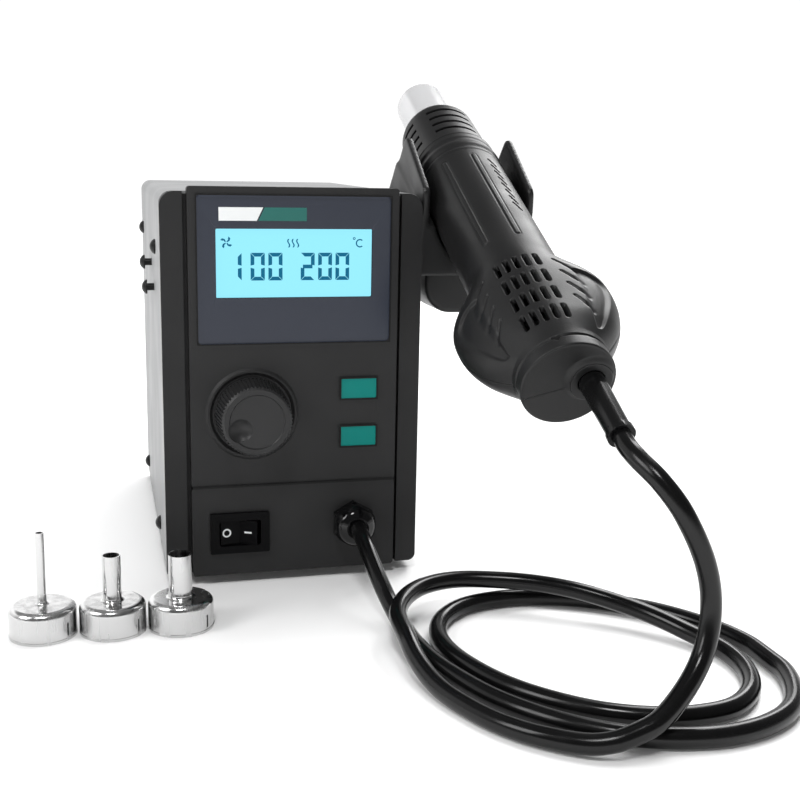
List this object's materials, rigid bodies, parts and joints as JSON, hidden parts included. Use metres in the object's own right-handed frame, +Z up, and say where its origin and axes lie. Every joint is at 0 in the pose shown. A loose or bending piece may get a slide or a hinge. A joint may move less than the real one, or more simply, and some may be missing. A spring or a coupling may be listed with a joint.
{
  "type": "hot air rework station",
  "caption": "Bench hot air rework station with a display, a dial, push buttons and a power rocker, a side cradle holding the hot air handset on its lead, and spare nozzles.",
  "frame": {"origin": "middle of the case on the surface its feet stand on", "axes": "+Z up, the front panel faces -Y, the handset lies on the +X side"},
  "size_m": [0.2522, 0.3306, 0.1988],
  "materials": {
    "sheet_black": "satin",
    "cover_paint": "satin light grey",
    "pan_steel": "plain",
    "panel_plastic": "satin black",
    "window_print": "dark blue-grey",
    "display_glass": "lit",
    "dark_plastic": "satin",
    "button_teal": "satin",
    "gloss_black": "glossy",
    "board_green": "solder mask",
    "steel": "plain",
    "screw_black": "black zinc",
    "chrome": "bright",
    "polished": "polished",
    "aluminium": "extruded",
    "brass": "plain",
    "copper_tape": "winding tape",
    "core_steel": "laminated",
    "ceramic": "unglazed ceramic",
    "mica": "mica",
    "rubber": "matte",
    "cord_rubber": "glossy",
    "handset_plastic": "fine matte",
    "capacitor_sleeve": "printed"
  },
  "bodies": {
    "station": {"base_pan": "pan_steel", "cover": "cover_paint", "rear_panel": "sheet_black", "front_frame": "panel_plastic", "upper_panel": "panel_plastic", "lower_panel": "panel_plastic", "display_window": "window_print", "lcd_glass": "display_glass", "lcd_frame": "dark_plastic", "control_board": "board_green", "encoder_body": "steel", "tact_switches": "dark_plastic", "rocker_frame": "gloss_black", "gland_nut": "gloss_black", "gland_body": "gloss_black", "main_board": "board_green", "standoffs": "brass", "board_screws": "steel", "transformer_core": "core_steel", "transformer_coil": "copper_tape", "heatsink": "aluminium", "triac": "dark_plastic", "capacitors": "capacitor_sleeve", "mains_inlet": "gloss_black", "inlet_pins": "steel", "feet": "rubber", "foot_screws": "steel", "cover_screws": "screw_black", "side_studs": "screw_black", "holder_cradle": "dark_plastic", "holder_magnet": "steel", "holder_screws": "screw_black", "handset_cord": "cord_rubber"},
    "dial": {"knob": "panel_plastic", "encoder_shaft": "steel"},
    "upper_button": {"button_upper": "button_teal"},
    "lower_button": {"button_lower": "button_teal"},
    "rocker": {"rocker_key": "gloss_black"},
    "handset": {"shell_upper": "handset_plastic", "shell_lower": "handset_plastic", "shell_screws": "steel", "vent_guard": "handset_plastic", "barrel": "chrome", "heater_flange": "steel", "mica_sleeve": "mica", "heater_core": "ceramic", "heater_coil": "steel", "fan_housing": "dark_plastic", "fan_motor": "steel", "handset_board": "board_green", "cord_collar": "handset_plastic", "cord_sleeve": "rubber"},
    "impeller": {"fan_wheel": "dark_plastic"},
    "small_nozzle": {"nozzle_small": "polished"},
    "medium_nozzle": {"nozzle_medium": "polished"},
    "large_nozzle": {"nozzle_large": "polished"}
  },
  "joints": [
    {"name": "knob_turn", "type": "hinge", "parent": "station", "child": "dial", "pos_m": [-0.0166, -0.092, 0.0684], "axis": [0, 1, 0], "continuous": true},
    {"name": "button_upper_press", "type": "slide", "parent": "station", "child": "upper_button", "axis": [0, 1, 0], "range_m": [0, 0.0005], "stiffness_N_per_m": 300, "springref_m": -0.001},
    {"name": "button_lower_press", "type": "slide", "parent": "station", "child": "lower_button", "axis": [0, 1, 0], "range_m": [0, 0.0005], "stiffness_N_per_m": 300, "springref_m": -0.001},
    {"name": "power_rocker", "type": "hinge", "parent": "station", "child": "rocker", "pos_m": [-0.0218, -0.083, 0.0212], "axis": [0, 0, 1], "range_deg": [0, 18]},
    {"name": "handset_lift", "type": "slide", "parent": "station", "child": "handset", "axis": [0, -0.4478, 0.8942], "range_m": [0, 0.06]},
    {"name": "impeller_spin", "type": "hinge", "parent": "handset", "child": "impeller", "pos_m": [0.074, -0.14468, 0.11135], "axis": [-0.3665, -0.4166, 0.8319], "continuous": true},
    {"name": "nozzle_small_lift", "type": "slide", "parent": "station", "child": "small_nozzle", "axis": [0, 0, 1], "range_m": [0, 0.045]},
    {"name": "nozzle_medium_lift", "type": "slide", "parent": "station", "child": "medium_nozzle", "axis": [0, 0, 1], "range_m": [0, 0.045]},
    {"name": "nozzle_large_lift", "type": "slide", "parent": "station", "child": "large_nozzle", "axis": [0, 0, 1], "range_m": [0, 0.045]}
  ]
}
